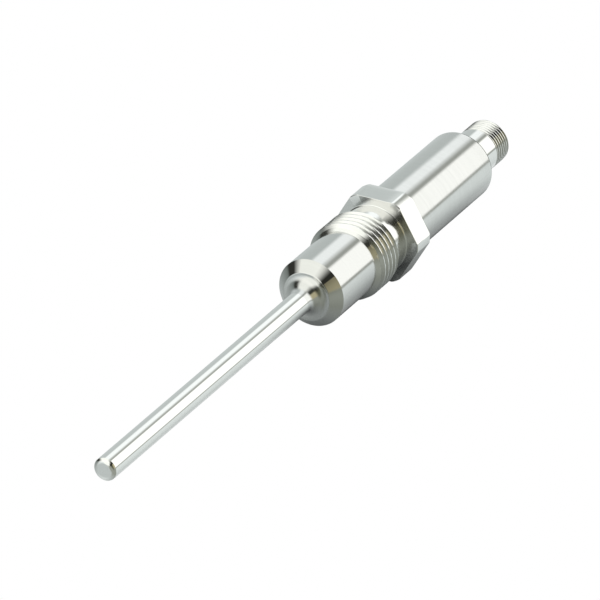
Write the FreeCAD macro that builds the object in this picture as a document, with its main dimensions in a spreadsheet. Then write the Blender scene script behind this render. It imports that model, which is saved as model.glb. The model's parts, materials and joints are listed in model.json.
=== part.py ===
"""Screw-in temperature transmitter with a slim probe, a pipe thread and an M12 plug connector.

It lies along X on a flat of its hexagon: the probe's tip points to -X, the connector to +X and +Z is up.
The origin is on the axis, where the process thread reaches its full diameter behind the smooth nose.
"""
import FreeCAD, Part
import math
import os
from types import SimpleNamespace

import Sketcher
from FreeCAD import Rotation, Vector

# Driving dimensions in millimetres
SIZES = {
    # Probe sheath: a thin tube with a closed, rounded tip, measured to the rim of the nose
    "probe_length": 100.0,
    "probe_diameter": 6.0,
    "probe_wall": 0.5,
    "tip_wall": 0.8,
    "tip_round": 1.0,
    # Nose of the process connection: weld stub, cove, sealing cone and smooth cylinder
    "stub_length": 1.5,
    "cove_radius": 3.2,
    "rim_diameter": 12.9,
    "cone_length": 2.55,
    "nose_diameter": 18.0,
    "nose_length": 17.0,
    # Half-inch parallel pipe thread, kept at its major diameter, and the relief behind it
    "thread_diameter": 20.955,
    "thread_length": 8.8,
    "thread_lead_in": 1.4,
    "thread_run_out": 0.9,
    "neck_diameter": 18.0,
    "neck_length": 6.0,
    "neck_round": 0.3,
    # Hexagon for a 22 mm spanner, milled from a bar that leaves its corners round, and chamfered at both ends
    "hex_across_flats": 22.0,
    "hex_length": 6.8,
    "hex_corner_loss": 0.55,
    "hex_chamfer": 0.25,
    "hex_chamfer_height": 0.15,
    # Spigot that carries the housing, its seal groove, and the chamber bored through it
    "spigot_length": 8.0,
    "spigot_lead_in": 0.5,
    "housing_groove_place": 3.0,
    "housing_groove_width": 1.5,
    "housing_groove_depth": 1.0,
    "chamber_diameter": 12.5,
    "chamber_wall": 5.0,
    # Housing sleeve with its end wall
    "housing_diameter": 18.6,
    "housing_length": 40.0,
    "housing_wall": 1.0,
    "housing_end_wall": 2.5,
    "housing_round": 0.8,
    # M12 connector shell, its thread kept at its major diameter
    "plug_diameter": 12.0,
    "plug_collar_length": 9.4,
    "plug_thread_length": 6.5,
    "plug_lead_in": 0.6,
    "plug_shank_diameter": 13.0,
    "plug_flange_diameter": 16.2,
    "plug_flange_thickness": 2.6,
    "plug_groove_diameter": 14.5,
    "plug_groove_width": 1.1,
    "plug_groove_depth": 0.8,
    "socket_diameter": 8.8,
    "socket_depth": 8.5,
    "socket_lead_in": 0.3,
    "carrier_seat_diameter": 10.8,
    "carrier_seat_depth": 4.0,
    # Coding key and contacts
    "key_width": 1.2,
    "key_height": 0.8,
    "key_setback": 1.2,
    "contact_circle": 5.0,
    "contact_diameter": 1.0,
    "contact_length": 7.0,
    "contact_round": 0.2,
    "contact_tail_diameter": 0.8,
    "contact_tail_length": 1.6,
    # Boards
    "contact_board_thickness": 1.0,
    "board_thickness": 0.8,
    "board_width": 15.0,
    "board_setback": 2.0,
    "board_tongue_width": 6.0,
    "board_tongue_gap": 0.1,
    "holder_wall": 1.0,
    "holder_end_gap": 0.1,
    # Parts on the boards; places are measured from the board's front edge to the part's middle
    "measuring_chip_side": 5.0,
    "measuring_chip_height": 0.9,
    "measuring_chip_place": 8.5,
    "output_chip_side": 4.0,
    "output_chip_height": 0.9,
    "output_chip_place": 16.5,
    "diode_length": 4.3,
    "diode_width": 2.6,
    "diode_height": 2.2,
    "diode_place": 18.0,
    "resistor_length": 3.2,
    "resistor_width": 1.6,
    "resistor_height": 0.6,
    "resistor_place": 6.0,
    "capacitor_length": 3.2,
    "capacitor_width": 2.5,
    "capacitor_height": 1.8,
    "capacitor_place": 11.5,
    "capacitor_spread": 6.4,
    "part_chamfer": 0.2,
    # Sensing element, its leads and what holds them
    "element_length": 3.0,
    "element_width": 2.4,
    "element_height": 1.0,
    "element_depth": 0.6,
    "lead_diameter": 0.5,
    "lead_spacing": 1.8,
    "lead_on_board": 3.0,
    "tube_diameter": 4.6,
    "tube_in_chamber": 2.0,
    "potting_length": 10.0,
    # Room between pieces that seat in one another
    "seat_clearance": 0.02,
    "slide_clearance": 0.1,
}
HEX_SIDES = 6
CONTACT_COUNT = 4
FIRST_CONTACT_ANGLE = 45.0

doc = FreeCAD.newDocument("temperature_transmitter")
sheet = doc.addObject("Spreadsheet::Sheet", "Sizes")
for row, (alias, number) in enumerate(SIZES.items(), start=1):
    sheet.set(f"A{row}", str(number))
    sheet.setAlias(f"A{row}", alias)
doc.recompute()


class Size:
    """A length with its present value and the expression that ties it to the sheet."""

    def __init__(self, value, text):
        self.value = value
        self.text = text

    def __add__(self, other):
        return Size(self.value + other.value, f"({self.text} + {other.text})")

    def __sub__(self, other):
        return Size(self.value - other.value, f"({self.text} - {other.text})")

    def __mul__(self, factor):
        return Size(self.value * factor, f"({self.text} * {factor})")

    def __neg__(self):
        return self * -1


ZERO = Size(0.0, "0")
mm = SimpleNamespace(**{alias: Size(float(sheet.get(alias)), f"Sizes.{alias}") for alias in SIZES})

# Places along the axis
nose_back = -mm.thread_lead_in
cone_back = nose_back - mm.nose_length
rim_plane = cone_back - mm.cone_length
tip = rim_plane - mm.probe_length
sheath_joint = rim_plane - mm.cove_radius - mm.stub_length
thread_back = mm.thread_length
hex_front = thread_back + mm.neck_length
hex_back = hex_front + mm.hex_length
spigot_end = hex_back + mm.spigot_length
housing_end = hex_back + mm.housing_length
end_wall_inside = housing_end - mm.housing_end_wall
flange_back = end_wall_inside - mm.plug_flange_thickness
plug_end = housing_end + mm.plug_collar_length + mm.plug_thread_length
socket_floor = plug_end - mm.socket_depth
carrier_seat = flange_back + mm.carrier_seat_depth
carrier_back = flange_back + mm.contact_board_thickness
chamber_front = cone_back + mm.chamber_wall
board_front = spigot_end + mm.board_setback
element_front = tip + mm.tip_wall + mm.element_depth
element_back = element_front + mm.element_length
tube_back = chamber_front + mm.tube_in_chamber

# Radii and heights
probe_radius = mm.probe_diameter * 0.5
probe_bore = probe_radius - mm.probe_wall
nose_radius = mm.nose_diameter * 0.5
thread_radius = mm.thread_diameter * 0.5
neck_radius = mm.neck_diameter * 0.5
flat_height = mm.hex_across_flats * 0.5
hex_bar_radius = flat_height * (1 / math.cos(math.pi / HEX_SIDES)) - mm.hex_corner_loss
chamber_radius = mm.chamber_diameter * 0.5
housing_radius = mm.housing_diameter * 0.5
housing_bore = housing_radius - mm.housing_wall
spigot_radius = housing_bore - mm.seat_clearance
plug_radius = mm.plug_diameter * 0.5
shank_radius = mm.plug_shank_diameter * 0.5
socket_radius = mm.socket_diameter * 0.5
seat_radius = mm.carrier_seat_diameter * 0.5
contact_radius = mm.contact_diameter * 0.5
contact_tail_radius = mm.contact_tail_diameter * 0.5
lead_radius = mm.lead_diameter * 0.5
tube_radius = mm.tube_diameter * 0.5
board_top = -lead_radius
board_bottom = board_top - mm.board_thickness

pieces = []


def new_body(label):
    """Start a piece whose name is also its file's name."""
    body = doc.addObject("PartDesign::Body", label)
    body.Label = label
    pieces.append(body)
    return body


def origin_feature(body, role):
    """One of the body's own base planes or axes."""
    return next(feature for feature in body.Origin.OriginFeatures if feature.Role == role)


def new_sketch(body, name, role, height=ZERO):
    """A sketch on a base plane of the body, raised along the plane's normal."""
    sketch = body.newObject("Sketcher::SketchObject", name)
    sketch.AttachmentSupport = [(origin_feature(body, role), "")]
    sketch.MapMode = "FlatFace"
    sketch.setExpression("AttachmentOffset.Base.z", height.text)
    return sketch


def tie_point(sketch, edge, end, across, up):
    """Hold one point of the sketch at its two distances from the sketch's centre."""
    for direction, size, axis in (("DistanceX", across, -2), ("DistanceY", up, -1)):
        if size is ZERO:
            sketch.addConstraint(Sketcher.Constraint("PointOnObject", edge, end, axis))
        else:
            index = sketch.addConstraint(Sketcher.Constraint(direction, -1, 1, edge, end, size.value))
            sketch.setExpression(f"Constraints[{index}]", size.text)


def draw_outline(sketch, corners):
    """A closed outline of straight edges through the corners."""
    count = len(corners)
    points = [Vector(across.value, up.value, 0) for across, up in corners]
    for i in range(count):
        sketch.addGeometry(Part.LineSegment(points[i], points[(i + 1) % count]), False)
    for i in range(count):
        sketch.addConstraint(Sketcher.Constraint("Coincident", i, 2, (i + 1) % count, 1))
    for i, (across, up) in enumerate(corners):
        tie_point(sketch, i, 1, across, up)


def draw_box(sketch, left, right, low, high):
    """A rectangle between four distances."""
    draw_outline(sketch, [(left, low), (right, low), (right, high), (left, high)])


def draw_circle(sketch, across, up, radius):
    """A circle at a place, tied to its radius."""
    centre = Vector(across.value, up.value, 0)
    edge = sketch.addGeometry(Part.Circle(centre, Vector(0, 0, 1), radius.value), False)
    tie_point(sketch, edge, 3, across, up)
    index = sketch.addConstraint(Sketcher.Constraint("Radius", edge, radius.value))
    sketch.setExpression(f"Constraints[{index}]", radius.text)


def turn(body, corners):
    """Turn an outline of (along, out) corners about the X axis."""
    sketch = new_sketch(body, f"{body.Label}_outline", "XY_Plane")
    draw_outline(sketch, corners)
    turned = body.newObject("PartDesign::Revolution", f"{body.Label}_turned")
    turned.Profile = sketch
    turned.ReferenceAxis = (sketch, ["H_Axis"])
    turned.Angle = 360
    doc.recompute()
    return turned


def pad(body, name, sketch, length, downwards=False):
    """Raise a sketch to a solid."""
    raised = body.newObject("PartDesign::Pad", name)
    raised.Profile = sketch
    raised.Reversed = downwards
    raised.setExpression("Length", length.text)
    doc.recompute()
    return raised


def pocket(body, name, sketch, depth):
    """Cut a sketch into the body, back along the sketch's normal, and make sure that it cut."""
    before = body.Shape.Volume
    cut = body.newObject("PartDesign::Pocket", name)
    cut.Profile = sketch
    cut.setExpression("Length", depth.text)
    doc.recompute()
    if cut.Shape.Volume >= before:
        raise RuntimeError(f"{name} cuts nothing from {body.Label}")
    return cut


def round_circle(body, feature, name, along, out, radius):
    """Round the circular edge of a turned solid that lies at a place along and out from the axis."""
    def is_wanted(edge):
        if edge.Curve.TypeId != "Part::GeomCircle":
            return False
        along_miss = abs(edge.Curve.Center.x - along.value)
        return max(along_miss, abs(edge.Curve.Radius - out.value)) < 1e-6

    number = next(i for i, edge in enumerate(feature.Shape.Edges, start=1) if is_wanted(edge))
    rounded = body.newObject("PartDesign::Fillet", name)
    rounded.Base = (feature, [f"Edge{number}"])
    rounded.setExpression("Radius", radius.text)
    doc.recompute()
    return rounded


def lay_along_x(piece, label, along, across=ZERO):
    """Name a primitive made about Z and lay it along X."""
    piece.Label = label
    piece.Placement.Rotation = Rotation(Vector(0, 1, 0), 90)
    piece.setExpression("Placement.Base.x", along.text)
    piece.setExpression("Placement.Base.y", across.text)
    pieces.append(piece)


def contact_places():
    """Across and up distances of the contacts on their circle."""
    step = 2 * math.pi / CONTACT_COUNT
    for i in range(CONTACT_COUNT):
        angle = math.radians(FIRST_CONTACT_ANGLE) + i * step
        yield mm.contact_circle * (0.5 * math.cos(angle)), mm.contact_circle * (0.5 * math.sin(angle))


def make_probe_sheath():
    """Thin tube with a closed tip, welded to the stub of the connection."""
    body = new_body("probe_sheath")
    tube = turn(body, [
        (tip, ZERO),
        (tip, probe_radius),
        (sheath_joint, probe_radius),
        (sheath_joint, probe_bore),
        (tip + mm.tip_wall, probe_bore),
        (tip + mm.tip_wall, ZERO),
    ])
    round_circle(body, tube, "tip_edge", tip, probe_radius, mm.tip_round)


def make_process_connection():
    """One turned piece from the weld stub to the spigot, with six milled flats."""
    body = new_body("process_connection")
    rim_radius = mm.rim_diameter * 0.5
    hex_face_radius = hex_bar_radius - mm.hex_chamfer_height
    groove_front = hex_back + mm.housing_groove_place
    groove_back = groove_front + mm.housing_groove_width
    groove_floor = spigot_radius - mm.housing_groove_depth
    blank = turn(body, [
        (sheath_joint, probe_bore),
        (sheath_joint, probe_radius),
        (rim_plane, probe_radius),
        (rim_plane, rim_radius),
        (cone_back, nose_radius),
        (nose_back, nose_radius),
        (ZERO, thread_radius),
        (thread_back - mm.thread_run_out, thread_radius),
        (thread_back, neck_radius),
        (hex_front, neck_radius),
        (hex_front, hex_face_radius),
        (hex_front + mm.hex_chamfer, hex_bar_radius),
        (hex_back - mm.hex_chamfer, hex_bar_radius),
        (hex_back, hex_face_radius),
        (hex_back, spigot_radius),
        (groove_front, spigot_radius),
        (groove_front, groove_floor),
        (groove_back, groove_floor),
        (groove_back, spigot_radius),
        (spigot_end - mm.spigot_lead_in, spigot_radius),
        (spigot_end, spigot_radius - mm.spigot_lead_in),
        (spigot_end, chamber_radius),
        (chamber_front, chamber_radius),
        (chamber_front, probe_bore),
    ])
    coved = round_circle(body, blank, "nose_cove", rim_plane, probe_radius, mm.cove_radius)
    round_circle(body, coved, "neck_edge", hex_front, neck_radius, mm.neck_round)

    cutter = new_sketch(body, "flat_outline", "YZ_Plane", hex_back)
    draw_box(cutter, -hex_bar_radius, hex_bar_radius, flat_height, hex_bar_radius * 2)
    flat = pocket(body, "flat", cutter, mm.hex_length)
    flats = body.newObject("PartDesign::PolarPattern", "flats")
    flats.Originals = [flat]
    flats.Axis = (origin_feature(body, "X_Axis"), [""])
    flats.Angle = 360
    flats.Occurrences = HEX_SIDES
    body.Tip = flats


def make_housing_sleeve():
    """Sleeve pushed over the spigot, its end wall bored for the connector."""
    body = new_body("housing_sleeve")
    hole_radius = shank_radius + mm.seat_clearance
    tube = turn(body, [
        (hex_back, housing_bore),
        (hex_back, housing_radius),
        (housing_end, housing_radius),
        (housing_end, hole_radius),
        (end_wall_inside, hole_radius),
        (end_wall_inside, housing_bore),
    ])
    round_circle(body, tube, "housing_edge", housing_end, housing_radius, mm.housing_round)


def make_connector_shell():
    """Plug shell: flange inside the end wall, shank through it, collar and thread outside."""
    body = new_body("connector_shell")
    flange_radius = mm.plug_flange_diameter * 0.5
    groove_inner = (mm.plug_groove_diameter - mm.plug_groove_width) * 0.5
    groove_outer = (mm.plug_groove_diameter + mm.plug_groove_width) * 0.5
    groove_floor = end_wall_inside - mm.plug_groove_depth
    turn(body, [
        (flange_back, seat_radius),
        (flange_back, flange_radius),
        (end_wall_inside, flange_radius),
        (end_wall_inside, groove_outer),
        (groove_floor, groove_outer),
        (groove_floor, groove_inner),
        (end_wall_inside, groove_inner),
        (end_wall_inside, shank_radius),
        (housing_end, shank_radius),
        (housing_end, plug_radius),
        (plug_end - mm.plug_lead_in, plug_radius),
        (plug_end, plug_radius - mm.plug_lead_in),
        (plug_end, socket_radius + mm.socket_lead_in),
        (plug_end - mm.socket_lead_in, socket_radius),
        (carrier_seat, socket_radius),
        (carrier_seat, seat_radius),
    ])


def make_contact_carrier():
    """Insulating insert seated from behind, with a coding key along the socket's wall."""
    body = new_body("contact_carrier")
    nose = socket_radius - mm.seat_clearance
    shoulder = seat_radius - mm.seat_clearance
    turn(body, [
        (carrier_back, ZERO),
        (carrier_back, shoulder),
        (carrier_seat, shoulder),
        (carrier_seat, nose),
        (socket_floor, nose),
        (socket_floor, ZERO),
    ])
    key = new_sketch(body, "key_outline", "YZ_Plane", socket_floor)
    key_top = socket_radius - mm.slide_clearance
    draw_box(key, mm.key_width * -0.5, mm.key_width * 0.5, key_top - mm.key_height, key_top)
    pad(body, "key", key, mm.socket_depth - mm.key_setback)
    holes = new_sketch(body, "contact_holes_outline", "YZ_Plane", socket_floor)
    for across, up in contact_places():
        draw_circle(holes, across, up, contact_radius + mm.seat_clearance)
    pocket(body, "contact_holes", holes, socket_floor - carrier_back)


def make_contact_pins():
    """Plug contacts: rounded in front, with a thinner tail through the round board."""
    contact_tip = socket_floor + mm.contact_length
    tail_end = carrier_back - mm.contact_tail_length
    for number, (across, up) in enumerate(contact_places(), start=1):
        body = new_body(f"contact_pin_{number}")
        pin = turn(body, [
            (tail_end, ZERO),
            (tail_end, contact_tail_radius),
            (carrier_back, contact_tail_radius),
            (carrier_back, contact_radius),
            (contact_tip, contact_radius),
            (contact_tip, ZERO),
        ])
        round_circle(body, pin, f"pin_{number}_edge", contact_tip, contact_radius, mm.contact_round)
        body.setExpression("Placement.Base.y", across.text)
        body.setExpression("Placement.Base.z", up.text)


def make_contact_board():
    """Round board behind the carrier, holed for the tails and slotted for the long board."""
    body = new_body("contact_board")
    rim = seat_radius - mm.seat_clearance
    turn(body, [(flange_back, ZERO), (flange_back, rim), (carrier_back, rim), (carrier_back, ZERO)])
    holes = new_sketch(body, "tail_holes_outline", "YZ_Plane", carrier_back)
    for across, up in contact_places():
        draw_circle(holes, across, up, contact_tail_radius + mm.seat_clearance)
    pocket(body, "tail_holes", holes, mm.contact_board_thickness)
    slot = new_sketch(body, "tongue_slot_outline", "YZ_Plane", carrier_back)
    half_width = mm.board_tongue_width * 0.5 + mm.seat_clearance
    draw_box(slot, -half_width, half_width, board_bottom - mm.seat_clearance, board_top + mm.seat_clearance)
    pocket(body, "tongue_slot", slot, mm.contact_board_thickness)


def make_circuit_board():
    """Long board that rides in the holder's slots, its tongue in the round board."""
    body = new_body("circuit_board")
    half_width = mm.board_width * 0.5
    half_tongue = mm.board_tongue_width * 0.5
    shoulder = flange_back - mm.contact_tail_length
    tongue_end = carrier_back - mm.board_tongue_gap
    sketch = new_sketch(body, "board_outline", "XY_Plane", board_bottom)
    draw_outline(sketch, [
        (board_front, -half_width),
        (shoulder, -half_width),
        (shoulder, -half_tongue),
        (tongue_end, -half_tongue),
        (tongue_end, half_tongue),
        (shoulder, half_tongue),
        (shoulder, half_width),
        (board_front, half_width),
    ])
    pad(body, "board", sketch, mm.board_thickness)


def make_board_part(label, place, across, length, width, height, below=False):
    """A moulded part soldered to the long board, its outer edges chamfered."""
    body = new_body(label)
    middle = board_front + place
    sketch = new_sketch(body, f"{label}_outline", "XY_Plane", board_bottom if below else board_top)
    draw_box(sketch, middle - length * 0.5, middle + length * 0.5, across - width * 0.5, across + width * 0.5)
    block = pad(body, f"{label}_block", sketch, height, downwards=below)
    heights = [face.CenterOfMass.z for face in block.Shape.Faces]
    outer = heights.index(min(heights) if below else max(heights)) + 1
    chamfer = body.newObject("PartDesign::Chamfer", f"{label}_chamfer")
    chamfer.Base = (block, [f"Face{outer}"])
    chamfer.setExpression("Size", mm.part_chamfer.text)
    doc.recompute()


def make_board_parts():
    """What turns the element's resistance into a signal, above and below the board."""
    chip = mm.measuring_chip_side
    make_board_part("measuring_chip", mm.measuring_chip_place, ZERO, chip, chip, mm.measuring_chip_height)
    chip = mm.output_chip_side
    make_board_part("output_chip", mm.output_chip_place, ZERO, chip, chip, mm.output_chip_height)
    make_board_part("surge_diode", mm.diode_place, ZERO, mm.diode_length, mm.diode_width, mm.diode_height, True)
    make_board_part("reference_resistor", mm.resistor_place, ZERO, mm.resistor_length, mm.resistor_width,
                    mm.resistor_height, True)
    for number, side in ((1, -0.5), (2, 0.5)):
        make_board_part(f"buffer_capacitor_{number}", mm.capacitor_place, mm.capacitor_spread * side,
                        mm.capacitor_length, mm.capacitor_width, mm.capacitor_height, True)


def make_board_holder():
    """Insulating liner between spigot and connector, with two guide slots for the board."""
    body = new_body("board_holder")
    outer = housing_bore - mm.slide_clearance
    inner = outer - mm.holder_wall
    front = spigot_end
    back = flange_back - mm.holder_end_gap
    turn(body, [(front, inner), (front, outer), (back, outer), (back, inner)])
    slots = new_sketch(body, "guide_slots_outline", "YZ_Plane", back)
    half_width = mm.board_width * 0.5 + mm.slide_clearance
    draw_box(slots, -half_width, half_width, board_bottom - mm.seat_clearance, board_top + mm.seat_clearance)
    pocket(body, "guide_slots", slots, back - front)


def make_seals():
    """O-rings that fill their grooves from floor to lid."""
    housing_ring_radius = (mm.housing_groove_depth + mm.seat_clearance) * 0.5
    housing_ring = doc.addObject("Part::Torus", "housing_o_ring")
    housing_ring.setExpression("Radius1", (housing_bore - housing_ring_radius).text)
    housing_ring.setExpression("Radius2", housing_ring_radius.text)
    groove_middle = hex_back + mm.housing_groove_place + mm.housing_groove_width * 0.5
    lay_along_x(housing_ring, "housing_o_ring", groove_middle)

    plug_ring_radius = mm.plug_groove_depth * 0.5
    plug_ring = doc.addObject("Part::Torus", "connector_o_ring")
    plug_ring.setExpression("Radius1", (mm.plug_groove_diameter * 0.5).text)
    plug_ring.setExpression("Radius2", plug_ring_radius.text)
    lay_along_x(plug_ring, "connector_o_ring", end_wall_inside - plug_ring_radius)


def make_sensing_element():
    """Flat platinum chip on the axis, close behind the tip's wall."""
    chip = doc.addObject("Part::Box", "sensing_element")
    chip.Label = "sensing_element"
    chip.setExpression("Length", mm.element_length.text)
    chip.setExpression("Width", mm.element_width.text)
    chip.setExpression("Height", mm.element_height.text)
    chip.setExpression("Placement.Base.x", element_front.text)
    chip.setExpression("Placement.Base.y", (mm.element_width * -0.5).text)
    chip.setExpression("Placement.Base.z", (mm.element_height * -0.5).text)
    pieces.append(chip)


def make_thermal_compound():
    """Filling that carries heat from the tip's wall to the element."""
    body = new_body("thermal_compound")
    front = tip + mm.tip_wall
    radius = probe_bore - mm.seat_clearance
    turn(body, [(front, ZERO), (front, radius), (element_back, radius), (element_back, ZERO)])
    bed = new_sketch(body, "element_bed_outline", "YZ_Plane", element_back)
    half_width = mm.element_width * 0.5 + mm.seat_clearance
    half_height = mm.element_height * 0.5 + mm.seat_clearance
    draw_box(bed, -half_width, half_width, -half_height, half_height)
    pocket(body, "element_bed", bed, mm.element_length)


def cut_lead_holes(body, front, back):
    """Two bores for the element's leads, cut from the back."""
    holes = new_sketch(body, f"{body.Label}_lead_holes_outline", "YZ_Plane", back)
    for side in (-0.5, 0.5):
        draw_circle(holes, mm.lead_spacing * side, ZERO, lead_radius + mm.seat_clearance)
    pocket(body, f"{body.Label}_lead_holes", holes, back - front)


def make_insulating_tube():
    """Twin-bore tube that fills the probe behind the element."""
    body = new_body("insulating_tube")
    turn(body, [(element_back, ZERO), (element_back, tube_radius), (tube_back, tube_radius), (tube_back, ZERO)])
    cut_lead_holes(body, element_back, tube_back)


def make_potting_plug():
    """Cast plug that closes the chamber round the tube's end and the leads."""
    body = new_body("potting_plug")
    outer = chamber_radius - mm.seat_clearance
    inner = tube_radius + mm.seat_clearance
    back = chamber_front + mm.potting_length
    turn(body, [
        (chamber_front, inner),
        (chamber_front, outer),
        (back, outer),
        (back, ZERO),
        (tube_back, ZERO),
        (tube_back, inner),
    ])
    cut_lead_holes(body, tube_back, back)


def make_element_leads():
    """Straight leads from the element, through tube and plug, onto the board's top."""
    for number, side in ((1, -0.5), (2, 0.5)):
        label = f"element_lead_{number}"
        lead = doc.addObject("Part::Cylinder", label)
        lead.setExpression("Radius", lead_radius.text)
        lead.setExpression("Height", (board_front + mm.lead_on_board - element_back).text)
        lay_along_x(lead, label, element_back, mm.lead_spacing * side)


make_probe_sheath()
make_process_connection()
make_housing_sleeve()
make_connector_shell()
make_contact_carrier()
make_contact_pins()
make_contact_board()
make_circuit_board()
make_board_parts()
make_board_holder()
make_seals()
make_sensing_element()
make_thermal_compound()
make_insulating_tube()
make_potting_plug()
make_element_leads()
doc.recompute()

# Every feature must have built, and every piece must be one valid solid
for feature in doc.Objects:
    if "Invalid" in feature.State or "Error" in feature.State:
        raise RuntimeError(f"{feature.Label} did not build: {feature.State}")
for piece in pieces:
    if piece.Shape.isNull() or not piece.Shape.isValid() or len(piece.Shape.Solids) != 1:
        raise RuntimeError(f"{piece.Label} is not one valid solid")

os.makedirs("parts", exist_ok=True)
for piece in pieces:
    piece.Shape.exportStep(os.path.join("parts", f"{piece.Label}.step"))
    print(f"{piece.Label}: {piece.Shape.Volume:.1f} mm3")
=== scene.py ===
# %% [markdown]
# # A screw-in temperature transmitter in a light tent
#
# The object is a slim stainless probe on a threaded process connection, with a sleeve housing and a
# round plug connector behind it. Its frame is fixed: the axis lies along X, the probe's tip points to -X,
# and a flat of the hexagon lies on the floor. Every piece below is placed in that frame, in metres. The
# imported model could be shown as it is, but its facets would break every reflection, so the pieces that are
# seen from outside are turned again, and all pieces get a finish.

# %% Load the fixed frame
import json
import math

import bmesh
import bpy
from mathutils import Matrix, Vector


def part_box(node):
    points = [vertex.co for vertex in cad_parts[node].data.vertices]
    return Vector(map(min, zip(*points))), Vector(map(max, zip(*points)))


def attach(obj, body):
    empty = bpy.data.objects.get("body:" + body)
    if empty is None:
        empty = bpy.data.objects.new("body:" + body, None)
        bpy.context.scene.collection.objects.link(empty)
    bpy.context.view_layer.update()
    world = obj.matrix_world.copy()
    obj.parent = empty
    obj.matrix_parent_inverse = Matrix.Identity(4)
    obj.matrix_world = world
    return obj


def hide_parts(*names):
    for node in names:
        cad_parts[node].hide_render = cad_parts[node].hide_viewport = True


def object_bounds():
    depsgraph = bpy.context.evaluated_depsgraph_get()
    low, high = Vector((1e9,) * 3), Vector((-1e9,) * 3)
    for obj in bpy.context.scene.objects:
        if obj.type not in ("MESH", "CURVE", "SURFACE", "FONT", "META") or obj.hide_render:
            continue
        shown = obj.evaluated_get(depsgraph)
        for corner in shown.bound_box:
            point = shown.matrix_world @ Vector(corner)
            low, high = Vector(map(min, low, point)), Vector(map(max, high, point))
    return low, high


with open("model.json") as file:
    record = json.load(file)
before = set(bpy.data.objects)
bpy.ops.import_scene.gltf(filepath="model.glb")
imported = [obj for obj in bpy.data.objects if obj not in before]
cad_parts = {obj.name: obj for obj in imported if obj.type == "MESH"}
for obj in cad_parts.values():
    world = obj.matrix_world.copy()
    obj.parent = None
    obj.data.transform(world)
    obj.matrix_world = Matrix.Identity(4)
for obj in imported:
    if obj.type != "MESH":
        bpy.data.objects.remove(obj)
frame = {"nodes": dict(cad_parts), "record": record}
cad_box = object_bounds()
nodes = frame["nodes"]
MM = 0.001
print(f"{len(nodes)} pieces, {(cad_box[1].x - cad_box[0].x) / MM:.1f} mm long")

# %% [markdown]
# ## Camera
#
# The photograph was taken with a very long lens, so the far connector looks hardly smaller than the near
# tip. The camera could be placed by eye, but a long lens shows every tenth of a degree. So it is worked out
# from a point on the axis: how far behind the tip it is, how far away the camera stands, from which angle,
# and which pixel of the picture the point falls on.

# %% Camera
PICTURE_PIXELS = 600
SENSOR_WIDTH = 36.0
FOCAL_PIXELS = 6955.0
CAMERA_AZIMUTH = math.radians(-61.6)
CAMERA_ELEVATION = math.radians(27.6)
CAMERA_DISTANCE = 1.705
AIM_BEHIND_TIP = 97.3 * MM
AIM_PIXEL = (301.2, 301.3)

tip_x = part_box("probe_sheath")[0].x
to_camera = Vector((
    math.sin(CAMERA_AZIMUTH) * math.cos(CAMERA_ELEVATION),
    -math.cos(CAMERA_AZIMUTH) * math.cos(CAMERA_ELEVATION),
    math.sin(CAMERA_ELEVATION),
))
camera_turn = (-to_camera).to_track_quat("-Z", "Y")
picture_right = camera_turn @ Vector((1, 0, 0))
picture_up = camera_turn @ Vector((0, 1, 0))
pixel_size = CAMERA_DISTANCE / FOCAL_PIXELS
picture_centre = (
    Vector((tip_x + AIM_BEHIND_TIP, 0, 0))
    - picture_right * (AIM_PIXEL[0] - PICTURE_PIXELS / 2) * pixel_size
    + picture_up * (AIM_PIXEL[1] - PICTURE_PIXELS / 2) * pixel_size
)
camera_data = bpy.data.cameras.new("studio_camera")
camera_data.sensor_width = SENSOR_WIDTH
camera_data.lens = FOCAL_PIXELS / PICTURE_PIXELS * SENSOR_WIDTH
camera = bpy.data.objects.new("studio_camera", camera_data)
camera.location = picture_centre + to_camera * CAMERA_DISTANCE
camera.rotation_mode = "QUATERNION"
camera.rotation_quaternion = camera_turn
bpy.context.scene.collection.objects.link(camera)
bpy.context.scene.camera = camera
print(f"lens {camera_data.lens:.0f} mm, one pixel is {pixel_size / MM:.3f} mm at the object")

# %% [markdown]
# ## Colour and nodes
#
# Colours are picked as sRGB hex values, as a paint program shows them, but shaders count light, so one
# function turns hex into linear numbers. The plain "Standard" view keeps a picked grey as that same grey,
# where the default film-like view would dull the whites of a tent. A second function adds a node with its
# settings and links, so that each material reads as a list of what it is made of. Sockets go by name where
# they can. Maths and mixing nodes have several of one name, so theirs go by number. A maths node's are in the
# order of its sum, and a mixing node's get names here.

# %% Colour and node helpers
bpy.context.scene.view_settings.view_transform = "Standard"
SHARE = 0
FIRST_SHADER, SECOND_SHADER = 1, 2
FIRST_COLOUR, SECOND_COLOUR = 6, 7
MIXED_COLOUR = 2


def linear(hex_colour):
    """An sRGB colour such as "C8C6C0" as linear red, green, blue and a full alpha."""
    shares = [int(hex_colour[i:i + 2], 16) / 255 for i in (0, 2, 4)]
    return [s / 12.92 if s <= 0.04045 else ((s + 0.055) / 1.055) ** 2.4 for s in shares] + [1.0]


def add_node(tree, kind, inputs=None, **settings):
    """Add a node: settings are its own options, inputs its sockets' values or the sockets that feed them."""
    node = tree.nodes.new(kind)
    for option, value in settings.items():
        setattr(node, option, value)
    for socket, value in (inputs or {}).items():
        if isinstance(value, bpy.types.NodeSocket):
            tree.links.new(value, node.inputs[socket])
        else:
            node.inputs[socket].default_value = value
    return node


print(f"the grey 808080 sends back {linear('808080')[0]:.2f} of the light")

# %% [markdown]
# ## Light tent
#
# Polished steel has hardly any look of its own: it shows what stands round it. On a cylinder every
# reflection runs along the axis as a streak, and where a streak lies depends only on the angle round that
# axis. So the tent is described the same way, as panels at angles round the X axis: 0 degrees is +Y,
# 90 is straight up and 180 is -Y. Lamps and cards could build it, but a ramp in the world does it with no
# object to get in a camera's way. Four stretches follow one another along the axis: behind the connector,
# the sides, the camera's end, and the cloth round the lens with the dark slit that it looks through. A dark
# opening closes the far pole. A dozen cloths and cards are enough for all four. Each tint is the grey that
# steel shows of that panel, and the panels are lit brighter than white, so that a reflection of a reflection
# still looks bright.

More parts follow.
